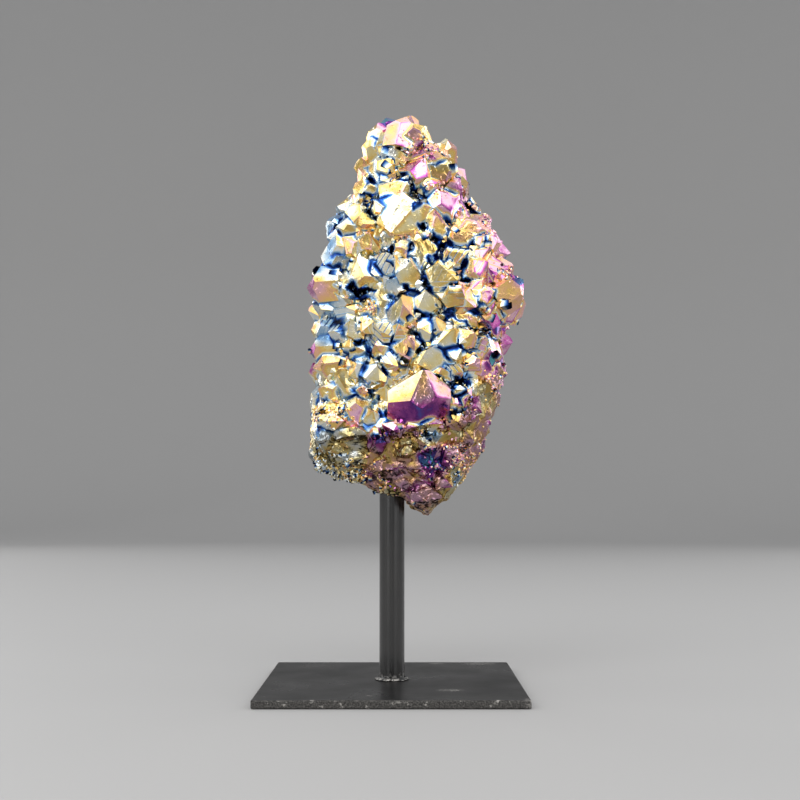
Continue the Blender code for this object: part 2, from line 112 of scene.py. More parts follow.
# Fine bumps of the materials: scale per metre, detail, strength, and depth in millimetres
BUMPS = {
    "film": (1500, 3, 0.12, 0.05),
    "plate": (1800, 3, 0.12, 0.05),
    "post rings": (5000, 2, 0.35, 0.05),
    "weld": (1300, 4, 0.5, 0.15),
}

# Paint and metal of the stand
PLATE_DARK = (0.003, 0.003, 0.0035, 1)
PLATE_PALE = (0.009, 0.0085, 0.0085, 1)
CUT_DARK = (0.020, 0.019, 0.018, 1)
CUT_PALE = (0.17, 0.16, 0.15, 1)
CUT_ROUGHNESS = 0.5
BARE_STEEL = (0.42, 0.40, 0.37, 1)
FLAKE_SHARE = 0.6
PLATE_ROUGHNESS = (0.24, 0.38)
PLATE_GLOSS = 0.22
WORN_STRENGTH = -0.3
WORN_DEPTH = 0.04
POST_DARK = (0.006, 0.006, 0.0065, 1)
POST_PALE = (0.014, 0.013, 0.012, 1)
POST_CHIP = (0.22, 0.21, 0.20, 1)
POST_ROUGHNESS = (0.17, 0.26)
POST_GLOSS = 0.9
POST_LINES = (1.0, 1.0, 0.03)
POST_RINGS = (0.08, 0.08, 1.0)
GRAIN_STRENGTH = 0.06
GRAIN_DEPTH = 0.05
WELD_BARE = (0.45, 0.43, 0.40, 1)
WELD_PAINT = (0.014, 0.014, 0.014, 1)
WELD_ROUGHNESS = (0.55, 0.35)
WELD_METAL = 0.2

# Where the wear of the stand begins and ends: distances from the plate's rim, heights above the lower end
# of the post and the weld, and x minus y at the chipped corner, in millimetres
CUT_RIM = (0.45, 0.2)
WORN_RIM = (1.2, 0.3)
POST_FOOT = (0.6, 3.0)
WELD_FOOT = (0.3, 0.8)
CHIPPED_CORNER = (98, 99.2)

# Pale smudges on the plate's top: x, y, half width and half depth in millimetres
SMUDGES = [
    (19, 45.5, 4, 3),
    (38, 45, 8, 4),
    (22, -27, 6, 3.5),
    (49, -48.5, 2, 3),
    (-30, 12, 1, 1),
    (-8, -40, 2, 1),
]
SMUDGE_CORE = 0.1

# The stone's zones, in millimetres: the height under which its rind is bare, along x, and the depth
# behind which it is bare
RIND_LINE_X = (-40, 18, 26, 33, 44)
RIND_LINE_Z = (100, 101, 105, 118, 128)
RIND_BACK = 14
RIND_BLEND = 3

# Fine mesh of the stone, in millimetres and degrees
SAME_PLACE = 0.001
FRONT_EDGE = 1.3
BACK_EDGE = 2.2
SPLIT_ROUNDS = 5
FACET_ANGLE = 2.0
CREASE_STEP = 0.3
CREASE_ANGLE = 12
RIND_LUMP = 6.5
RIND_RELIEF = 1.5
RIND_KNOB = 2.4
KNOB_RELIEF = 0.5
GRAIN_SIZE = 1.1
GRAIN_RELIEF = 0.12

# Light that reaches a place of the stone
OPEN_RAYS = 18
OPEN_REACH = 7.0
OPEN_START = 0.05
GOLDEN_TURN = math.pi * (3 - math.sqrt(5))

# Film thickness, from 0, where it is thin and blue-black in the grooves, to 1, thick and teal. Its two
# lowest, near-black stops are partly painted shade: beyond the thin film's own blue, they darken the seams,
# grooves and hollows as if in shadow
FILM_STOPS = [
    (0.00, (0.002, 0.004, 0.014)),
    (0.09, (0.006, 0.016, 0.09)),
    (0.18, (0.02, 0.10, 0.42)),
    (0.27, (0.22, 0.42, 0.68)),
    (0.35, (0.68, 0.79, 0.84)),
    (0.42, (0.97, 0.96, 0.89)),
    (0.49, (0.98, 0.86, 0.47)),
    (0.56, (0.97, 0.66, 0.18)),
    (0.62, (0.96, 0.56, 0.30)),
    (0.68, (0.96, 0.55, 0.52)),
    (0.74, (0.93, 0.56, 0.74)),
    (0.80, (0.54, 0.12, 0.40)),
    (0.87, (0.17, 0.035, 0.24)),
    (0.93, (0.08, 0.12, 0.45)),
    (1.00, (0.15, 0.52, 0.60)),
]
# Film values by the colour they give; the first, near black, is painted shade
PAINTED_SHADE_BLACK = 0.02
SLATE = 0.26
SILVER = 0.35
WHITE = 0.43
PALE = 0.475
GOLD = 0.52
YELLOW = 0.56
ORANGE = 0.61
SALMON = 0.66
PINK = 0.72
MAGENTA = 0.79
PURPLE = 0.87
INDIGO = 0.91
TEAL = 0.99

# The film of the front from left to right, where no patch below says otherwise
ZONE_X = (-36, -22, -5, 20, 34, 50)
ZONE_FILM = (0.28, 0.40, 0.51, 0.53, 0.61, 0.68)
ZONE_WEIGHT = 0.22
PATCH_WEIGHT = 3
PATCH_FALL = 1.5
PATCH_BACK = 8

# What a face adds to its film when it looks right, left or down
RIGHT_FILM = 0.06
LEFT_FILM = -0.04
DOWN_FILM = 0.05
TURN_POWER = 1.5

# The film on the crystals of the front: x, z, spread in millimetres, and the film
TOP_PATCHES = [
    (5, 219, 6, SALMON), (-2, 228, 3.5, TEAL), (-5, 217, 2, GOLD), (15, 219, 3.5, WHITE),
    (13, 207, 7, PINK), (20, 206, 3, SILVER), (22, 211, 3, WHITE), (-1, 210, 3, SILVER),
    (-12, 206, 4, SALMON), (-14, 196, 4.5, ORANGE), (-1, 203, 4, GOLD), (2, 197.5, 5, YELLOW),
    (17, 196, 4, SALMON), (26.5, 193, 4.5, MAGENTA), (10.5, 189.5, 4, PALE), (-1, 186, 3.5, WHITE),
    (3, 180, 5.5, YELLOW), (5, 187, 2.5, SALMON), (8, 181, 3, PALE), (-6, 188.5, 2.5, WHITE),
    (-13, 184, 3, YELLOW), (-16, 177, 6, ORANGE), (-8, 172, 3, PALE), (-15, 166, 5, PALE),
    (-19, 186, 4, SLATE), (-22.5, 187, 3, SILVER), (-26, 171, 6, SLATE), (-29, 163.5, 2.5, PAINTED_SHADE_BLACK),
    (-31, 157, 7, PURPLE), (-24, 161, 3, SLATE), (-26, 188, 4, SILVER), (-28, 178, 5, SLATE),
    (-2, 167, 4, WHITE), (7, 164, 4, GOLD), (0, 158, 3, SILVER), (17, 186, 4, PINK),
    (16, 180, 3.5, GOLD), (27, 177, 4, YELLOW), (35, 177, 4, ORANGE), (40, 183, 6, PINK),
    (26.5, 169, 5, GOLD), (36.5, 170.5, 3, ORANGE), (36, 158, 6, SALMON), (31, 161, 4, ORANGE),
    (44, 164, 4, SALMON), (51, 160, 3, TEAL), (47, 151, 5, YELLOW), (21.5, 158, 6, PALE),
    (26.5, 152.5, 4, YELLOW), (12.5, 152.5, 4, WHITE),
]
LOW_PATCHES = [
    (-24, 153, 3, PALE), (-24, 150, 2.5, SLATE), (-10.5, 146, 5, GOLD), (-22, 142, 6, SILVER),
    (-33, 131, 6.5, PURPLE), (-31, 121, 3, SILVER), (-34, 143, 4, INDIGO), (-30, 148, 4, SILVER),
    (-26, 138, 4, SLATE), (-18, 131.5, 4, YELLOW), (-23, 121, 6, GOLD), (-8, 124, 4, WHITE),
    (-14, 116, 3.5, ORANGE), (-29.5, 115.5, 4, PALE), (-2, 140, 5, PALE), (3, 136, 4, SALMON),
    (-4.5, 134, 4, YELLOW), (3, 127, 4, GOLD), (4.5, 149.5, 4, YELLOW), (24, 136, 6, WHITE),
    (14.5, 140.5, 4, WHITE), (17, 130, 4, WHITE), (37, 133, 4.5, PINK), (40, 128, 3, TEAL),
    (42.5, 141.5, 4, MAGENTA), (35, 148, 4, ORANGE), (25, 123, 5, GOLD), (22.5, 116, 3, PALE),
    (30, 117.5, 3, YELLOW), (29.5, 111, 3.5, INDIGO), (9, 120, 7, PALE), (17, 117, 4, SALMON),
    (8, 107, 6.5, PURPLE), (-3, 106, 2, GOLD), (18, 107, 3.5, MAGENTA), (-6.5, 104, 3, WHITE),
    (-21, 108, 5, GOLD), (-14.5, 105, 3, MAGENTA), (-29.5, 108, 3.5, ORANGE), (-27, 92.5, 6, WHITE),
    (-4.5, 87, 6, SALMON), (-4, 97, 4, PURPLE), (-16, 91, 6, GOLD), (3, 81.5, 4, MAGENTA),
    (22, 99.5, 3, PINK), (15, 98, 3, SLATE), (16.5, 89, 5.5, PURPLE), (19, 83, 3, ORANGE),
    (24, 82, 2.5, SLATE), (28.5, 92, 6, SALMON), (36.5, 98.5, 6, GOLD), (39, 108, 5, GOLD),
    (33, 90, 4, YELLOW), (12, 77, 5, MAGENTA), (11.5, 69, 4, YELLOW),
]

# Where the faces grew in plates, with thin seams between them: x, z, spread in millimetres
PLATE_PATCHES = [
    (36, 160, 8), (23, 157, 6), (-2, 138, 8), (2, 127, 6), (26, 123, 6), (2, 201, 5), (26, 168, 5),
    (-2, 167, 5), (36, 135, 5), (-22, 143, 5),
]
PLATE_CORE = 0.3

# The plates and the growth steps on the faces, as bands along each face's own direction
BAND_SETTINGS = {"wave_type": "BANDS", "bands_direction": "Y", "wave_profile": "SAW"}
BAND_SCALE = 0.14
BAND_WARP = 2.0
BAND_DETAIL = 2.0
BAND_DETAIL_SCALE = 0.15
PLATE_SEAM = 0.34
SEAM_BAND = (0.72, 0.97)
STEP_SHARE = 0.7
STEP_DEPTH = 0.3
CLOUD_FILM = 0.03
SPECK_FILM = 0.008

# The stone's and the small points' roughness and the strength of their lines, and the seeds of chance
STONE_ROUGHNESS = (0.16, 0.30)
STONE_LINES = 0.6
STONE_SEED = 7
POINT_ROUGHNESS = (0.20, 0.34)
POINT_LINES = 0.1
DRUSE_SEED = 23

# How wide the blue-black seam between two crystals is, in millimetres: least, on average and most, and in
# the grooves below. Its blue is the thin film's own; its near-black is painted shade
SEAM_WIDTHS = (0.3, 1.2, 2.4)
SEAM_UNEVEN = 1.8
SEAM_CLEAR = 0.08
GROOVE_WIDTH = 3.6
GROOVE_UNEVEN = 0.8
GROOVE_DEPTH = 3.2
GROOVE_WALL = 1.2
GROOVE_REACH = 3.6
GROOVE_CORE = 0.72
GROOVE_WANDER = 2.2
WANDER_SIZE = 3.5

# How strong the seams are: in the middle, with the unevenness and in a groove, and at least. Then the
# painted shade: how far the grooves' cores are darkened, how much of the seams' darkening the rind is
# spared, the openness at which seams and faces are darkest and over which they brighten, the least light,
# and the darkening of faces that look down. Last, how much darker the rind's own colour is
SEAM_SHARE = 0.5
UNEVEN_SHARE = 0.9
GROOVE_SHARE = 0.7
LEAST_SHARE = 0.25
CORE_PAINTED_SHADE = 0.9
RIND_SHARE = 0.85
SHUT = 0.20
BRIGHT_RANGE = 0.45
LIT_RANGE = 0.55
LEAST_LIGHT = 0.3
DOWNWARD_PAINTED_SHADE = 0.3
RIND_DARKENING = 0.52

# Film of the faces: the share of the face's own value, chance, slope, edges, and drift over the stone
FACE_SHARE = 0.55
FACE_CHANCE = 0.075
FACE_SLOPE = 0.016
SLOPE_RIGHT = 0.75
SLOPE_DOWN = 0.65
FRINGE_CHANCE = 0.55
FRINGE_FILM = 0.15
FRINGE_WIDTH = 1.1
THICK_FRINGE = 0.3
FACE_TONES = (0.86, 1.0)
GROWTH_SPREAD = 50
GROWTH_UP = (0, 0.3, 1.0)
DRIFT_FILM = 0.05
DRIFT_SIZE = 14
DRIFT_SHIFT = (3, 1, 4)
RIND_FILM = 0.12
LUMP_FILM = 1.2
LUMP_SPREAD = 3.3
UNEVEN_SIZE = 8
UNEVEN_SHIFT = (7, 2, 9)
THIN_FILM = 0.25
# The near-black film the seams fall to: partly thin film, partly painted shade
SEAM_FILM_AND_SHADE = 0.03

# Lines of the front along which the seams are wide, dark grooves: how strong, then the line
GROOVES = [
    (1.0, [(2, 200), (8, 196), (11, 190), (8, 186)]),
    (0.9, [(-10, 206), (-9, 198), (-10, 190), (-8, 184)]),
    (1.0, [(10, 181), (16, 178), (19, 172), (14, 167)]),
    (0.7, [(19, 172), (24, 173), (30, 172)]),
    (0.7, [(14, 167), (12, 161), (14, 157)]),
    (0.6, [(30, 192), (24, 187), (21, 180)]),
    (0.8, [(-6, 173), (-2, 171), (3, 172), (8, 172)]),
    (1.0, [(-18, 156), (-13, 155), (-7, 155)]),
    (0.6, [(-7, 155), (-3, 151), (2, 154), (8, 158)]),
    (1.0, [(18, 147), (24, 144), (31, 141), (40, 137)]),
    (0.5, [(18, 147), (10, 145), (6, 143)]),
    (0.25, [(-12, 152), (-15, 147), (-14, 140), (-19, 137)]),
    (0.6, [(9, 137), (10, 132), (12, 126)]),
    (0.8, [(17, 119.5), (24, 118.5), (33, 120)]),
    (0.6, [(-12, 134), (-6, 129), (-10, 121), (-7, 113), (-4, 108)]),
    (0.2, [(-28, 137), (-22, 135), (-14, 129)]),
    (0.5, [(-26, 113), (-19, 114), (-16, 120)]),
    (0.6, [(20, 112), (25, 113), (26, 106)]),
    (0.5, [(28, 166), (29, 158), (24, 156)]),
]

# Rough patches of the front, covered with tiny points: x, z and spread in millimetres
ROUGH_PATCHES = [
    (13, 213, 5), (-9, 147, 4), (-21, 108, 5), (-16, 84, 5), (26, 90, 6), (40, 182, 6), (-29, 108, 4),
    (40, 120, 4), (44, 163, 4), (17, 195, 3), (-26, 86, 5), (-3, 80, 3),
]
ROUGH_BACK = 4

# The small points: how many, least and greatest radius in millimetres, tilt, how deep they sit for their
# radius, and the shift and spread of their film
DRUSE = {
    "filling_points": (330, 1.2, 2.5, 0.35, 0.35, 0.0, 0.05),
    "hollow_points": (300, 0.5, 1.3, 0.45, 0.35, -0.14, 0.10),
    "rough_points": (1500, 0.35, 1.0, 0.5, 0.35, 0.0, 0.06),
    "rind_points": (1300, 0.35, 0.95, 0.5, 0.6, 0.0, 0.06),
}

# Where they grow: how open the place is, how sharply the rough patches end, how many stand alone, and
# the drift that crowds them on the rind
FILLING_OPEN = (0.35, 0.80)
HOLLOW_OPEN = 0.58
OPEN_BLEND = 0.2
ROUGH_POWER = 1.5
LONE_ROUGH = 0.002
LONE_RIND = 0.0001
RIND_DRIFT_SIZE = 9
RIND_DRIFT_START = -0.1
RIND_DRIFT_BLEND = 0.5

# One small point of unit radius: its tip, its foot, and how far chance moves its tip and its shoulders
POINT_SIDES = 6
TIP_HEIGHT = 1.1
FOOT_DEPTH = 1.6
FOOT_WIDTH = 0.9
TIP_SHIFT = 0.35
SHOULDER_SHIFT = (-0.3, 0.15)
POINT_CHANCE = 0.045
POINT_FILMS = (0.15, 0.98)
# The foot's film and tone, where a point meets the stone, are painted shade
FOOT_PAINTED_SHADE_FILM = 0.06
FOOT_PAINTED_SHADE = 0.3


def mm(values):
    return tuple(v * MM for v in values)


# Materials

def new_material(name):
    material = bpy.data.materials.new(name)
    material.use_nodes = True
    return material, material.node_tree, material.node_tree.nodes["Principled BSDF"]


def add_node(tree, kind, settings=None, **inputs):
    """A shader node with its properties and its inputs, each a value or another node's output."""
    made = tree.nodes.new(kind)
    for key, value in (settings or {}).items():
        setattr(made, key, value)
    for key, value in inputs.items():
        socket = made.inputs[int(key[1:])] if key[0] == "_" and key[1:].isdigit() else made.inputs[key]
        if isinstance(value, bpy.types.NodeSocket):
            tree.links.new(value, socket)
        else:
            socket.default_value = value
    return made


def object_place(tree):
    return add_node(tree, "ShaderNodeTexCoord").outputs["Object"]


def math_node(tree, operation, a, b=0.0, clamp=False):
    made = add_node(tree, "ShaderNodeMath", {"operation": operation, "use_clamp": clamp}, _0=a, _1=b)
    return made.outputs[0]


def remap(tree, value, low, high, to_low=0.0, to_high=1.0):
    inputs = dict(_0=value, _1=low, _2=high, _3=to_low, _4=to_high)
    return add_node(tree, "ShaderNodeMapRange", {"clamp": True}, **inputs).outputs[0]


def attribute(tree, name):
    return add_node(tree, "ShaderNodeAttribute", {"attribute_name": name})


def noise_node(tree, place, scale, detail, roughness=0.5):
    inputs = dict(Vector=place, Scale=scale, Detail=detail, Roughness=roughness)
    return add_node(tree, "ShaderNodeTexNoise", None, **inputs).outputs["Fac"]


def patches(tree, place, name, to_low=0.0, to_high=1.0):
    """The noise of that name, with the stretch of it that counts spread from to_low to to_high."""
    scale, detail, roughness, low, high = NOISES[name]
    return remap(tree, noise_node(tree, place, scale, detail, roughness), low, high, to_low, to_high)


def mixed(tree, share, a, b, blend="MIX"):
    made = add_node(tree, "ShaderNodeMix", {"data_type": "RGBA", "blend_type": blend}, _0=share, _6=a, _7=b)
    return made.outputs[2]


def bumped(tree, height, strength, depth, normal=None):
    """A bump of that depth in millimetres, over another normal where one is given."""
    inputs = dict(Height=height, Strength=strength, Distance=depth * MM)
    if normal is not None:
        inputs["Normal"] = normal
    return add_node(tree, "ShaderNodeBump", None, **inputs).outputs["Normal"]


def fine_bump(tree, place, name, normal=None):
    scale, detail, strength, depth = BUMPS[name]
    return bumped(tree, noise_node(tree, place, scale, detail), strength, depth, normal)


def film_ramp(tree, thickness):
    """The film's interference colour for its thickness."""
    ramp = add_node(tree, "ShaderNodeValToRGB", None, Fac=thickness)
    stops = ramp.color_ramp.elements
    while len(stops) < len(FILM_STOPS):
        stops.new(0.5)
    for stop, (position, color) in zip(stops, FILM_STOPS):
        stop.position = position
        stop.color = (*color, 1)
    return ramp.outputs["Color"]


def aura_material(name, roughness, line_strength):
    """Quartz under a metal film: the film's thickness sets the colour, which a painted shade darkens in the
    hollows and on downward faces, and the faces carry growth lines.
    """
    material, tree, shader = new_material(name)
    place = object_place(tree)
    film = attribute(tree, "film").outputs["Fac"]
    plates = attribute(tree, "plates").outputs["Fac"]
    tone_and_painted_shade = attribute(tree, "tone_and_painted_shade").outputs["Fac"]
    bands = add_node(
        tree,
        "ShaderNodeTexWave",
        BAND_SETTINGS,
        Vector=attribute(tree, "growth").outputs["Vector"],
        Scale=BAND_SCALE,
        Distortion=BAND_WARP,
        Detail=BAND_DETAIL,
        **{"Detail Scale": BAND_DETAIL_SCALE},
    ).outputs["Fac"]

    cloud = patches(tree, place, "film cloud", -CLOUD_FILM, CLOUD_FILM)
    speck = patches(tree, place, "film speck", -SPECK_FILM, SPECK_FILM)
    seam = math_node(tree, "MULTIPLY", remap(tree, bands, *SEAM_BAND, 0.0, -PLATE_SEAM), plates)
    thickness = math_node(tree, "ADD", math_node(tree, "ADD", film, cloud), speck)
    thickness = math_node(tree, "ADD", thickness, seam, clamp=True)
    # The colour times the tone, which carries painted shade
    grey = add_node(tree, "ShaderNodeCombineColor", None, Red=tone_and_painted_shade, Green=tone_and_painted_shade, Blue=tone_and_painted_shade).outputs[0]
    color = mixed(tree, 1.0, film_ramp(tree, thickness), grey, "MULTIPLY")
    tree.links.new(color, shader.inputs["Base Color"])
    shader.inputs["Metallic"].default_value = 1.0
    tree.links.new(patches(tree, place, "film gloss", *roughness), shader.inputs["Roughness"])

    where = patches(tree, place, "film steps", 0.0, STEP_SHARE)
    steps = math_node(tree, "MULTIPLY", bands, math_node(tree, "MAXIMUM", where, plates))
    normal = bumped(tree, steps, line_strength, STEP_DEPTH)
    tree.links.new(fine_bump(tree, place, "film", normal), shader.inputs["Normal"])
    return material


def smudge_share(tree, axes, x, y, wide, deep):
    """1 in the middle of a smudge of that half width and half depth, and 0 outside it."""
    from_x = math_node(tree, "DIVIDE", math_node(tree, "SUBTRACT", axes["X"], x * MM), wide * MM)
    from_y = math_node(tree, "DIVIDE", math_node(tree, "SUBTRACT", axes["Y"], y * MM), deep * MM)
    square_x = math_node(tree, "MULTIPLY", from_x, from_x)
    square_y = math_node(tree, "MULTIPLY", from_y, from_y)
    return remap(tree, math_node(tree, "ADD", square_x, square_y), SMUDGE_CORE, 1.0, 1.0, 0.0)


def plate_material():
    """Black paint on sheet steel: mottled and smudged on top, its cut sides greyer and speckled."""
    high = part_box("base_plate")[1]
    material, tree, shader = new_material("plate_paint")
    place = object_place(tree)
    axes = add_node(tree, "ShaderNodeSeparateXYZ", None, Vector=place).outputs
    across = math_node(tree, "ABSOLUTE", axes["X"])
    along = math_node(tree, "ABSOLUTE", axes["Y"])
    rim = math_node(tree, "MAXIMUM", across, along)
    side = remap(tree, rim, *(high.x - inset * MM for inset in CUT_RIM))
    at_edge = remap(tree, rim, *(high.x - inset * MM for inset in WORN_RIM))
    bare = math_node(tree, "MULTIPLY", at_edge, patches(tree, place, "plate edge wear"))
    flakes = patches(tree, place, "plate flakes", 0.0, FLAKE_SHARE)
    for smudge in SMUDGES:
        here = math_node(tree, "MULTIPLY", smudge_share(tree, axes, *smudge), flakes)
        bare = math_node(tree, "MAXIMUM", bare, here)
    chip = remap(tree, math_node(tree, "SUBTRACT", axes["X"], axes["Y"]), *mm(CHIPPED_CORNER))
    bare = math_node(tree, "MAXIMUM", bare, math_node(tree, "MULTIPLY", flakes, chip))

    paint = mixed(tree, patches(tree, place, "plate mottle"), PLATE_DARK, PLATE_PALE)
    cut = mixed(tree, patches(tree, place, "plate speckle"), CUT_DARK, CUT_PALE)
    color = mixed(tree, bare, mixed(tree, side, paint, cut), BARE_STEEL)
    tree.links.new(color, shader.inputs["Base Color"])
    smear = patches(tree, place, "plate smear", *PLATE_ROUGHNESS)
    rough = math_node(tree, "MAXIMUM", smear, remap(tree, side, 0, 1, 0.0, CUT_ROUGHNESS))
    tree.links.new(rough, shader.inputs["Roughness"])
    shader.inputs["Specular IOR Level"].default_value = PLATE_GLOSS
    normal = bumped(tree, bare, WORN_STRENGTH, WORN_DEPTH, fine_bump(tree, place, "plate"))
    tree.links.new(normal, shader.inputs["Normal"])
    return material


def post_material():
    """The same paint on a drawn rod: fine lines along it and round it, chipped a little at its foot."""
    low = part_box("post")[0]
    material, tree, shader = new_material("post_paint")
    place = object_place(tree)
    height = add_node(tree, "ShaderNodeSeparateXYZ", None, Vector=place).outputs["Z"]
    foot = remap(tree, height, *(low.z + above * MM for above in POST_FOOT), 1.0, 0.0)
    bare = math_node(tree, "MULTIPLY", foot, patches(tree, place, "post chips"), clamp=True)
    paint = mixed(tree, patches(tree, place, "post mottle"), POST_DARK, POST_PALE)
    tree.links.new(mixed(tree, bare, paint, POST_CHIP), shader.inputs["Base Color"])

    drawn = add_node(tree, "ShaderNodeMapping", None, Vector=place, Scale=POST_LINES).outputs[0]
    tree.links.new(patches(tree, drawn, "post grain", *POST_ROUGHNESS), shader.inputs["Roughness"])
    rings = add_node(tree, "ShaderNodeMapping", None, Vector=place, Scale=POST_RINGS).outputs[0]
    grain = noise_node(tree, drawn, *NOISES["post grain"][:3])
    normal = bumped(tree, grain, GRAIN_STRENGTH, GRAIN_DEPTH, fine_bump(tree, rings, "post rings"))
    tree.links.new(normal, shader.inputs["Normal"])
    shader.inputs["Specular IOR Level"].default_value = POST_GLOSS
    return material


def weld_material():
    """Weld metal with its paint worn off at its lower edge."""
    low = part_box("weld_bead")[0]
    material, tree, shader = new_material("worn_weld")
    place = object_place(tree)
    height = add_node(tree, "ShaderNodeSeparateXYZ", None, Vector=place).outputs["Z"]
    above = remap(tree, height, *(low.z + above * MM for above in WELD_FOOT))
    left = math_node(tree, "MAXIMUM", patches(tree, place, "weld paint"), above)
    tree.links.new(mixed(tree, left, WELD_BARE, WELD_PAINT), shader.inputs["Base Color"])
    tree.links.new(remap(tree, left, 0, 1, *WELD_ROUGHNESS), shader.inputs["Roughness"])
    shader.inputs["Metallic"].default_value = WELD_METAL
    tree.links.new(fine_bump(tree, place, "weld"), shader.inputs["Normal"])
    return material


# The stone's fine mesh

def rind_share(places):
    """1 where the stone is bare rind, 0 where points cover it, for an array of places in millimetres."""
    line = np.interp(places[:, 0], RIND_LINE_X, RIND_LINE_Z)
    below = np.clip((line - places[:, 2]) / RIND_BLEND + 0.5, 0, 1)
    behind = np.clip((places[:, 1] - RIND_BACK) / RIND_BLEND + 0.5, 0, 1)
    return np.maximum(below, behind)


def smooth(values):
    values = np.clip(values, 0, 1)
    return values * values * (3 - 2 * values)


def drift_noise(spots, size, shift=(0, 0, 0)):
    """A slow noise over the places, whose swells are about that size."""
    return np.array([noise.noise(Vector(spot) / size + Vector(shift)) for spot in spots])


def number_facets(bm):
    """Gives the triangles of one flat face of a crystal the same number, and returns each number's
    normal and middle."""
    layer = bm.faces.layers.int.new("facet")
    taken = set()
    normals, middles = [], []
    limit = math.cos(math.radians(FACET_ANGLE))
    for seed in sorted(bm.faces, key=lambda f: -f.calc_area()):
        if seed in taken:
            continue
        group, edge = [], [seed]
        taken.add(seed)
        while edge:
            face = edge.pop()
            group.append(face)
            for e in face.edges:
                for other in e.link_faces:
                    if other not in taken and other.normal.dot(seed.normal) > limit:
                        taken.add(other)
                        edge.append(other)
        total = sum(f.calc_area() for f in group)
        middle = sum((f.calc_center_median() * f.calc_area() for f in group), Vector()) / max(total, 1e-12)
        for face in group:
            face[layer] = len(middles)
        normals.append(seed.normal.copy())
        middles.append(middle)
    return np.array(normals), np.array(middles) / MM


def crease_tree(bm, concave):
    """Points along the creases between faces, of the valleys or of the ridges."""
    points = []
    limit = math.radians(CREASE_ANGLE)
    for edge in bm.edges:
        angle = edge.calc_face_angle_signed(0)
        if (angle < -limit) if concave else (angle > limit):
            start, end = (v.co for v in edge.verts)
            count = max(1, int((end - start).length / (CREASE_STEP * MM)))
            points += [start.lerp(end, i / count) for i in range(count + 1)]
    tree = KDTree(len(points))
    for i, point in enumerate(points):
        tree.insert(point, i)
    tree.balance()
    return tree


def split_long_edges(bm):
    """Splits the faces until hardly any edge is longer than the front's or the back's mesh allows."""
    for _ in range(SPLIT_ROUNDS):
        long_edges = []
        for edge in bm.edges:
            limit = FRONT_EDGE if edge.verts[0].co.y < RIND_BACK * MM else BACK_EDGE
            if edge.calc_length() > limit * MM:
                long_edges.append(edge)
        bmesh.ops.subdivide_edges(bm, edges=long_edges, cuts=1)
        wide = [f for f in bm.faces if len(f.verts) > 3]
        bmesh.ops.triangulate(bm, faces=wide, quad_method="SHORT_EDGE")


def rind_lump(spot, size):
    """Height of a lump, 1 in its middle and 0 at its edge, and the place that names the lump."""
    distances, middles = noise.voronoi(spot / size)
    return 1 - min(1.0, distances[0] / max(distances[1], 1e-6)), middles[0]


def push_rind(bm):
    """Real relief on the bare rind: lumps, knobs and a broken grain."""
    places = np.array([v.co for v in bm.verts]) / MM
    shares = rind_share(places)
    normals = [v.normal.copy() for v in bm.verts]
    for vert, share, normal in zip(bm.verts, shares, normals):
        if share == 0:
            continue
        spot = vert.co / MM
        height = RIND_RELIEF * (rind_lump(spot, RIND_LUMP)[0] - 0.5)
        height += KNOB_RELIEF * (rind_lump(spot, RIND_KNOB)[0] - 0.5)
        height += GRAIN_RELIEF * noise.noise(spot / GRAIN_SIZE)
        vert.co += normal * (share * height * MM)


def groove_share(places):
    """For each place, how strongly the seam there is one of the wide grooves, from 0 to 1."""
    found = np.zeros(len(places))
    wander = np.array([noise.noise_vector(Vector(place) / WANDER_SIZE) for place in places])
    flat = (places + GROOVE_WANDER * wander)[:, [0, 2]]
    for strength, line in GROOVES:
        nearest = np.full(len(places), np.inf)
        for start, end in zip(np.array(line[:-1], float), np.array(line[1:], float)):
            along = end - start
            share = np.clip((flat - start) @ along / (along @ along), 0, 1)
            nearest = np.minimum(nearest, np.linalg.norm(flat - start - share[:, None] * along, axis=1))
        found = np.maximum(found, strength * (1 - smooth(nearest / GROOVE_REACH)))
    return found * (places[:, 1] < 0)


def cut_grooves(bm, valleys):
    """Pushes the seams between the crystals in along the wide grooves."""
    places = np.array([v.co for v in bm.verts]) / MM
    shares = groove_share(places)
    for vert, share in zip(bm.verts, shares):
        if share > 0:
            from_seam = valleys.find(vert.co)[2] / MM
            vert.co.y += GROOVE_DEPTH * share * math.exp(-from_seam / GROOVE_WALL) * MM


def sky_rays():
    """Directions over the half sphere about +Z, closer together towards its pole."""
    rays = []
    for i in range(OPEN_RAYS):
        ring = math.sqrt((i + 0.5) / OPEN_RAYS)
        turn = i * GOLDEN_TURN
        rays.append(Vector((ring * math.cos(turn), ring * math.sin(turn), math.sqrt(1 - ring * ring))))
    return rays


def openness(bvh, places, normals):
    """For each place, the share of its surroundings that nothing stands in within OPEN_REACH."""
    rays = sky_rays()
    reach = OPEN_REACH * MM
    found = np.empty(len(places))
    for i, (place, normal) in enumerate(zip(places, normals)):
        turn = normal.to_track_quat("Z", "Y").to_matrix()
        start = place + normal * (OPEN_START * MM)
        shut = 0.0
        for ray in rays:
            distance = bvh.ray_cast(start, turn @ ray, reach)[3]
            if distance is not None:
                shut += 1 - distance / reach
        found[i] = 1 - shut / OPEN_RAYS
    return found


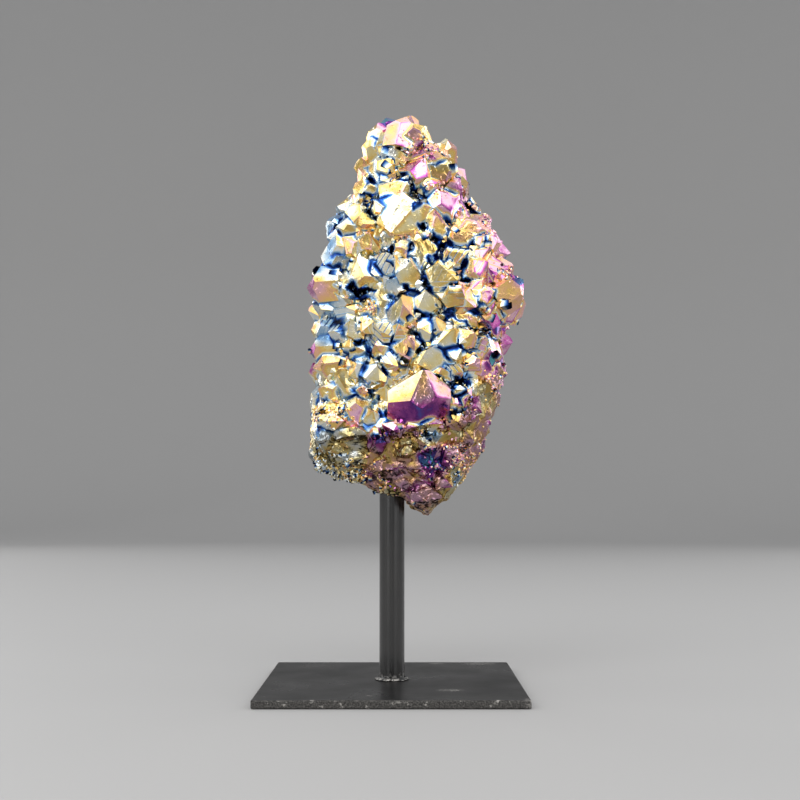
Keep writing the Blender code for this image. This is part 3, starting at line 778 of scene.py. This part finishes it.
def refine_solid():
    """The part's stone as a finer mesh with real relief, its flat faces, and how open each place of it is.

    Returns the mesh, the normals and middles of its flat faces, and for each vertex its place, its
    openness, and its distance to the nearest valley and to the nearest ridge.
    """
    bm = bmesh.new()
    bm.from_mesh(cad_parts["geode"].data)
    bmesh.ops.remove_doubles(bm, verts=bm.verts, dist=SAME_PLACE * MM)
    bm.normal_update()
    normals, middles = number_facets(bm)
    valleys = crease_tree(bm, True)
    ridges = crease_tree(bm, False)
    split_long_edges(bm)
    cut_grooves(bm, valleys)
    bm.normal_update()
    push_rind(bm)
    bm.normal_update()
    bvh = BVHTree.FromBMesh(bm)
    mesh = bpy.data.meshes.new("stone")
    bm.to_mesh(mesh)
    bm.free()
    places = [v.co.copy() for v in mesh.vertices]
    opened = openness(bvh, places, [v.normal.copy() for v in mesh.vertices])
    valley = np.array([valleys.find(place)[2] for place in places]) / MM
    ridge = np.array([ridges.find(place)[2] for place in places]) / MM
    return mesh, normals, middles, np.array(places) / MM, opened, valley, ridge


# The film on the stone

def face_film(places, normals):
    """The film at places of the stone: by the crystals listed there, thicker facing right or down."""
    right = np.clip(normals[:, 0], 0, 1)
    left = np.clip(-normals[:, 0], 0, 1)
    down = np.clip(-normals[:, 2], 0, 1)
    total = np.interp(places[:, 0], ZONE_X, ZONE_FILM) * ZONE_WEIGHT
    weight = np.full(len(places), ZONE_WEIGHT)
    front = places[:, 1] < PATCH_BACK
    for x, z, spread, film in TOP_PATCHES + LOW_PATCHES:
        distance = np.hypot(places[:, 0] - x, places[:, 2] - z)
        near = np.where(front, PATCH_WEIGHT * np.exp(-PATCH_FALL * (distance / spread) ** 2), 0)
        total += film * near
        weight += near
    turned = RIGHT_FILM * right**TURN_POWER + LEFT_FILM * left + DOWN_FILM * down**TURN_POWER
    return total / weight + turned


def draw_faces(count):
    """What differs by chance from one flat face to the next."""
    chance = np.random.default_rng(STONE_SEED)
    return {
        "film": chance.uniform(-FACE_CHANCE, FACE_CHANCE, count),
        "slope": chance.uniform(0.0, FACE_SLOPE, count),
        "fringe": np.where(chance.random(count) < FRINGE_CHANCE, FRINGE_FILM, 0.0),
        "tone": chance.uniform(*FACE_TONES, count),
        "turn": chance.choice([0, math.pi / 3, -math.pi / 3], count),
        "growth": chance.uniform(0, GROWTH_SPREAD, count),
    }


def seam_film_and_shade(spots, opened, valley, rind):
    """1 where a place has its crystal's full film, falling towards 0 in the seams and the grooves: partly
    the film thinning there, partly painted shade where little light reaches and in the grooves' dark cores.
    """
    uneven = drift_noise(spots, UNEVEN_SIZE, UNEVEN_SHIFT)
    in_groove = groove_share(spots)
    narrow, usual, wide = SEAM_WIDTHS
    width = np.clip(usual * (1 + SEAM_UNEVEN * uneven), narrow, wide)
    width += (GROOVE_WIDTH * (1 + GROOVE_UNEVEN * uneven) - width) * in_groove
    clear = smooth((valley / width - SEAM_CLEAR) / (1 - SEAM_CLEAR))
    bright = smooth((opened - SHUT) / BRIGHT_RANGE)
    share = np.clip(SEAM_SHARE + UNEVEN_SHARE * uneven + GROOVE_SHARE * in_groove, LEAST_SHARE, 1)
    painted_shade_core = smooth((in_groove - GROOVE_CORE) / (1 - GROOVE_CORE))
    film_and_shade_cover = (1 - (1 - bright * clear) * share) * (1 - CORE_PAINTED_SHADE * painted_shade_core)
    return 1 - (1 - film_and_shade_cover) * (1 - RIND_SHARE * rind)


def rind_film(spots, rind):
    """What drifts in the film over the whole stone, and from lump to lump of the rind."""
    drift = drift_noise(spots, DRIFT_SIZE, DRIFT_SHIFT)
    lumps = np.array([noise.noise(rind_lump(Vector(s), RIND_LUMP)[1] * LUMP_SPREAD) for s in spots])
    return DRIFT_FILM * drift + RIND_FILM * rind * (LUMP_FILM * lumps + drift)


def plate_share(middles):
    """For each flat face, how much it grew in plates, from 0 to 1."""
    found = np.zeros(len(middles))
    for x, z, spread in PLATE_PATCHES:
        distance = np.hypot(middles[:, 0] - x, middles[:, 2] - z)
        found = np.maximum(found, np.where(middles[:, 1] < 0, 1 - smooth(distance / spread - PLATE_CORE), 0))
    return found


def growth_axes(normals, turn):
    """Two directions in each flat face, turned by that angle from straight across and uphill."""
    upward = np.array(GROWTH_UP)
    uphill = upward - normals * (normals @ upward)[:, None]
    uphill /= np.maximum(np.linalg.norm(uphill, axis=1), 1e-6)[:, None]
    across = np.cross(normals, uphill)
    first = across * np.cos(turn)[:, None] + uphill * np.sin(turn)[:, None]
    second = uphill * np.cos(turn)[:, None] - across * np.sin(turn)[:, None]
    return first, second


def set_attribute(mesh, name, kind, values):
    made = mesh.attributes.new(name, kind, "CORNER")
    made.data.foreach_set("vector" if kind == "FLOAT_VECTOR" else "value", values.astype(np.float32).ravel())


def build_stone():
    """The stone's fine mesh, with its film, its tone with painted shade, and growth lines, in place of the
    part's solid.

    Returns the stone and how open each of its vertices is.
    """
    mesh, normals, middles, spots, opened, valley, ridge = refine_solid()
    drawn = draw_faces(len(middles))
    corners = np.empty(len(mesh.loops), np.int32)
    mesh.loops.foreach_get("vertex_index", corners)
    facets = np.empty(len(mesh.polygons), np.int32)
    mesh.attributes["facet"].data.foreach_get("value", facets)
    facet = np.repeat(facets, 3)
    from_middle = spots[corners] - middles[facet]
    rind = rind_share(spots)

    whole = face_film(middles, normals) + drawn["film"]
    film = FACE_SHARE * whole[facet] + (1 - FACE_SHARE) * face_film(spots[corners], normals[facet])
    film += drawn["slope"][facet] * (SLOPE_RIGHT * from_middle[:, 0] - SLOPE_DOWN * from_middle[:, 2])
    fringe = drawn["fringe"][facet]
    film += np.where(film < PINK, fringe, THICK_FRINGE * fringe) * np.exp(-ridge[corners] / FRINGE_WIDTH)
    film += rind_film(spots, rind)[corners]
    # Seams and grooves fall to the near-black film: partly the thin film there, partly painted shade
    film_and_shade_cover = seam_film_and_shade(spots, opened, valley, rind)[corners]
    film = np.clip(film, THIN_FILM, 1.0) * film_and_shade_cover + SEAM_FILM_AND_SHADE * (1 - film_and_shade_cover)
    set_attribute(mesh, "film", "FLOAT", film)

    # Painted shade: faces that look down are darker, and places that little light reaches darker still; the
    # random tone and the rind's darker colour are the stone's own
    tone = drawn["tone"] * (1 - DOWNWARD_PAINTED_SHADE * np.clip(-normals[:, 2], 0, 1))
    lit = LEAST_LIGHT + (1 - LEAST_LIGHT) * smooth((opened - SHUT) / LIT_RANGE)
    tone_and_painted_shade = tone[facet] * (lit * (1 - RIND_DARKENING * rind))[corners]
    set_attribute(mesh, "tone_and_painted_shade", "FLOAT", tone_and_painted_shade)
    set_attribute(mesh, "plates", "FLOAT", plate_share(middles)[facet])

    first, second = growth_axes(normals, drawn["turn"])
    along_first = np.einsum("ij,ij->i", from_middle, first[facet])
    along_second = np.einsum("ij,ij->i", from_middle, second[facet])
    growth = np.stack([along_first, along_second, drawn["growth"][facet]], axis=1)
    set_attribute(mesh, "growth", "FLOAT_VECTOR", growth)

    stone = bpy.data.objects.new("stone", mesh)
    bpy.context.scene.collection.objects.link(stone)
    mesh.materials.append(aura_material("aura_film", STONE_ROUGHNESS, STONE_LINES))
    print("stone triangles", len(mesh.polygons))
    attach(stone, BODY)
    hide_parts("geode")
    return stone, opened


# Small points

def small_point_form():
    """One point of unit radius: its corners, and its faces as triples of them."""
    corners = [(0.0, 0.0, TIP_HEIGHT)]
    turns = [math.tau * k / POINT_SIDES for k in range(POINT_SIDES)]
    for level, width in ((0.0, 1.0), (-FOOT_DEPTH, FOOT_WIDTH)):
        corners += [(width * math.cos(turn), width * math.sin(turn), level) for turn in turns]
    faces = []
    for k in range(POINT_SIDES):
        a = 1 + k
        b = 1 + (k + 1) % POINT_SIDES
        faces += [(0, a, b), (a, a + POINT_SIDES, b), (b, a + POINT_SIDES, b + POINT_SIDES)]
    return np.array(corners), np.array(faces)


def turned_about(axes, spin):
    """Two directions square to each axis and to each other, turned about it by that angle."""
    upright = np.abs(axes[:, 2:3]) < 0.9
    helper = np.where(upright, np.array([[0, 0, 1.0]]), np.array([[1.0, 0, 0]]))
    side = np.cross(helper, axes)
    side /= np.linalg.norm(side, axis=1)[:, None]
    other = np.cross(axes, side)
    first = side * np.cos(spin)[:, None] + other * np.sin(spin)[:, None]
    return first, np.cross(axes, first)


def build_points(name, places, axes, sizes, chance, sink, film_shift, film_spread):
    """Many small points joined into one mesh, each at its place, along its axis."""
    corners, faces = small_point_form()
    count = len(places)
    first, second = turned_about(axes, chance.uniform(0, math.tau, count))
    form = np.repeat(corners[None], count, axis=0)
    form[:, 0, :2] += chance.uniform(-TIP_SHIFT, TIP_SHIFT, (count, 2))
    form[:, 1 : POINT_SIDES + 1, 2] += chance.uniform(*SHOULDER_SHIFT, (count, POINT_SIDES))
    form *= sizes[:, None, None]
    origin = places - axes * (sizes * sink)[:, None]
    world = (
        origin[:, None]
        + form[..., :1] * first[:, None]
        + form[..., 1:2] * second[:, None]
        + form[..., 2:] * axes[:, None]
    )
    triples = (faces[None] + (np.arange(count) * len(corners))[:, None, None]).reshape(-1, 3)
    points = world.reshape(-1, 3)
    mesh = bpy.data.meshes.new(name)
    mesh.from_pydata((points * MM).tolist(), [], triples.tolist())
    mesh.update()

    edges = points[triples]
    normals = np.cross(edges[:, 1] - edges[:, 0], edges[:, 2] - edges[:, 0])
    normals /= np.maximum(np.linalg.norm(normals, axis=1), 1e-9)[:, None]
    film = face_film(edges.mean(axis=1), normals) + chance.uniform(-POINT_CHANCE, POINT_CHANCE, len(normals))
    film += np.repeat(chance.normal(film_shift, film_spread, count), len(faces))
    # Painted shade: the foot, where the point meets the stone, gets a near-black film and a dark tone
    in_shaded_foot = np.tile(faces > POINT_SIDES, (count, 1))
    film = np.clip(np.repeat(film, 3).reshape(-1, 3), *POINT_FILMS)
    set_attribute(mesh, "film", "FLOAT", np.where(in_shaded_foot, FOOT_PAINTED_SHADE_FILM, film))
    set_attribute(mesh, "tone_and_painted_shade", "FLOAT", np.where(in_shaded_foot, FOOT_PAINTED_SHADE, 1.0))
    piece = bpy.data.objects.new(name, mesh)
    bpy.context.scene.collection.objects.link(piece)
    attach(piece, BODY)
    print(name, "triangles", len(mesh.polygons))
    return piece


def scatter(stone, weights, count, chance):
    """Random places on the stone's faces, more where the weights are larger, with their normals."""
    mesh = stone.data
    areas = np.array([p.area for p in mesh.polygons]) * weights
    pick = chance.choice(len(areas), count, p=areas / areas.sum())
    corners = np.array([mesh.polygons[i].vertices for i in pick])
    verts = np.array([v.co for v in mesh.vertices]) / MM
    a, b = chance.random((2, count))
    flip = a + b > 1
    a, b = np.where(flip, 1 - a, a), np.where(flip, 1 - b, b)
    tri = verts[corners]
    places = tri[:, 0] + a[:, None] * (tri[:, 1] - tri[:, 0]) + b[:, None] * (tri[:, 2] - tri[:, 0])
    normals = np.array([mesh.polygons[i].normal for i in pick])
    return places, normals


def tilted(normals, amount, chance):
    axes = normals + chance.normal(0, amount, normals.shape)
    return axes / np.linalg.norm(axes, axis=1)[:, None]


def druse_weights(mesh, opened):
    """How thickly each kind of small point grows on each of the stone's faces."""
    middles = np.array([p.center for p in mesh.polygons]) / MM
    open_faces = opened[np.array([p.vertices for p in mesh.polygons])].mean(axis=1)
    rind = rind_share(middles)
    crust = 1 - rind
    least, most = FILLING_OPEN
    half_open = smooth((most - open_faces) / OPEN_BLEND) * smooth((open_faces - least) / OPEN_BLEND)
    rough = np.zeros(len(middles))
    for x, z, spread in ROUGH_PATCHES:
        distance = np.hypot(middles[:, 0] - x, middles[:, 2] - z)
        rough += np.where(middles[:, 1] < ROUGH_BACK, np.exp(-((distance / spread) ** 2)), 0)
    on_rind = smooth((drift_noise(middles, RIND_DRIFT_SIZE) - RIND_DRIFT_START) / RIND_DRIFT_BLEND)
    return {
        "filling_points": crust * half_open * (1 - groove_share(middles)),
        "hollow_points": crust * smooth((HOLLOW_OPEN - open_faces) / OPEN_BLEND),
        "rough_points": rough**ROUGH_POWER + LONE_ROUGH * crust,
        "rind_points": rind * on_rind + LONE_RIND,
    }


def build_druse(stone, opened):
    """The points too small for the part's solid: in the hollows, on rough patches and on the rind."""
    chance = np.random.default_rng(DRUSE_SEED)
    material = aura_material("aura_film_fine", POINT_ROUGHNESS, POINT_LINES)
    weights = druse_weights(stone.data, opened)
    for name, (count, small, large, tilt, sink, film_shift, film_spread) in DRUSE.items():
        places, normals = scatter(stone, weights[name], count, chance)
        sizes = chance.uniform(small, large, count)
        axes = tilted(normals, tilt, chance)
        points = build_points(name, places, axes, sizes, chance, sink, film_shift, film_spread)
        points.data.materials.append(material)


# Studio

def build_stage():
    """A pale floor that sweeps up all round into a wall, so that every side has the same background."""
    profile = [(radius, 0.0) for radius in FLOOR_RINGS]
    edge = FLOOR_RINGS[-1]
    for i in range(1, SWEEP_STEPS + 1):
        turn = math.pi / 2 * i / SWEEP_STEPS
        profile.append((edge + SWEEP_RADIUS * math.sin(turn), SWEEP_RADIUS * (1 - math.cos(turn))))
    profile.append((edge + SWEEP_RADIUS, SWEEP_TOP))
    bm = bmesh.new()
    turns = [math.tau * k / FLOOR_SIDES for k in range(FLOOR_SIDES)]
    rows = []
    for radius, height in profile:
        rows.append([bm.verts.new((radius * math.cos(t), radius * math.sin(t), height)) for t in turns])
    middle = bm.verts.new((0, 0, 0))
    for k in range(FLOOR_SIDES):
        following = (k + 1) % FLOOR_SIDES
        bm.faces.new((middle, rows[0][k], rows[0][following]))
        for row, above in zip(rows, rows[1:]):
            bm.faces.new((row[k], above[k], above[following], row[following]))
    mesh = bpy.data.meshes.new("studio_floor")
    bm.to_mesh(mesh)
    bm.free()
    mesh.shade_smooth()
    floor = bpy.data.objects.new("studio_floor", mesh)
    bpy.context.scene.collection.objects.link(floor)
    floor.location.z = -FLOOR_GAP
    material, _, shader = new_material("pale_floor")
    shader.inputs["Base Color"].default_value = (*FLOOR_COLOR, 1)
    shader.inputs["Roughness"].default_value = FLOOR_ROUGHNESS
    shader.inputs["Specular IOR Level"].default_value = FLOOR_GLOSS
    mesh.materials.append(material)


def add_softbox(name, place, width, height, power):
    light = bpy.data.lights.new(name, "AREA")
    light.shape = "RECTANGLE"
    light.size = width
    light.size_y = height
    light.energy = power
    lamp = bpy.data.objects.new(name, light)
    bpy.context.scene.collection.objects.link(lamp)
    lamp.location = place
    lamp.rotation_euler = (Vector(LIGHT_AIM) - Vector(place)).to_track_quat("-Z", "Y").to_euler()
    lamp.visible_camera = False


def build_lights():
    world = bpy.data.worlds.new("studio")
    world.use_nodes = True
    background = world.node_tree.nodes["Background"]
    background.inputs["Color"].default_value = (*SKY_COLOR, 1)
    background.inputs["Strength"].default_value = SKY_STRENGTH
    bpy.context.scene.world = world
    for softbox in SOFTBOXES:
        add_softbox(*softbox)


def build_camera():
    data = bpy.data.cameras.new("camera")
    data.sensor_width = SENSOR_WIDTH
    data.lens = FOCAL_PIXELS / FRAME_PIXELS * SENSOR_WIDTH
    camera = bpy.data.objects.new("camera", data)
    bpy.context.scene.collection.objects.link(camera)
    camera.location = mm(CAMERA_PLACE)
    camera.rotation_euler = (math.radians(90 + CAMERA_PITCH), 0, 0)
    bpy.context.scene.camera = camera


def finish_stand():
    """Puts their paint on the plate, the post and the weld."""
    paints = {"base_plate": plate_material(), "post": post_material(), "weld_bead": weld_material()}
    for name, material in paints.items():
        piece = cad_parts[name]
        piece.data.materials.clear()
        piece.data.materials.append(material)


build_camera()
build_lights()
build_stage()
finish_stand()
build_druse(*build_stone())
bpy.context.scene.view_settings.view_transform = "Standard"
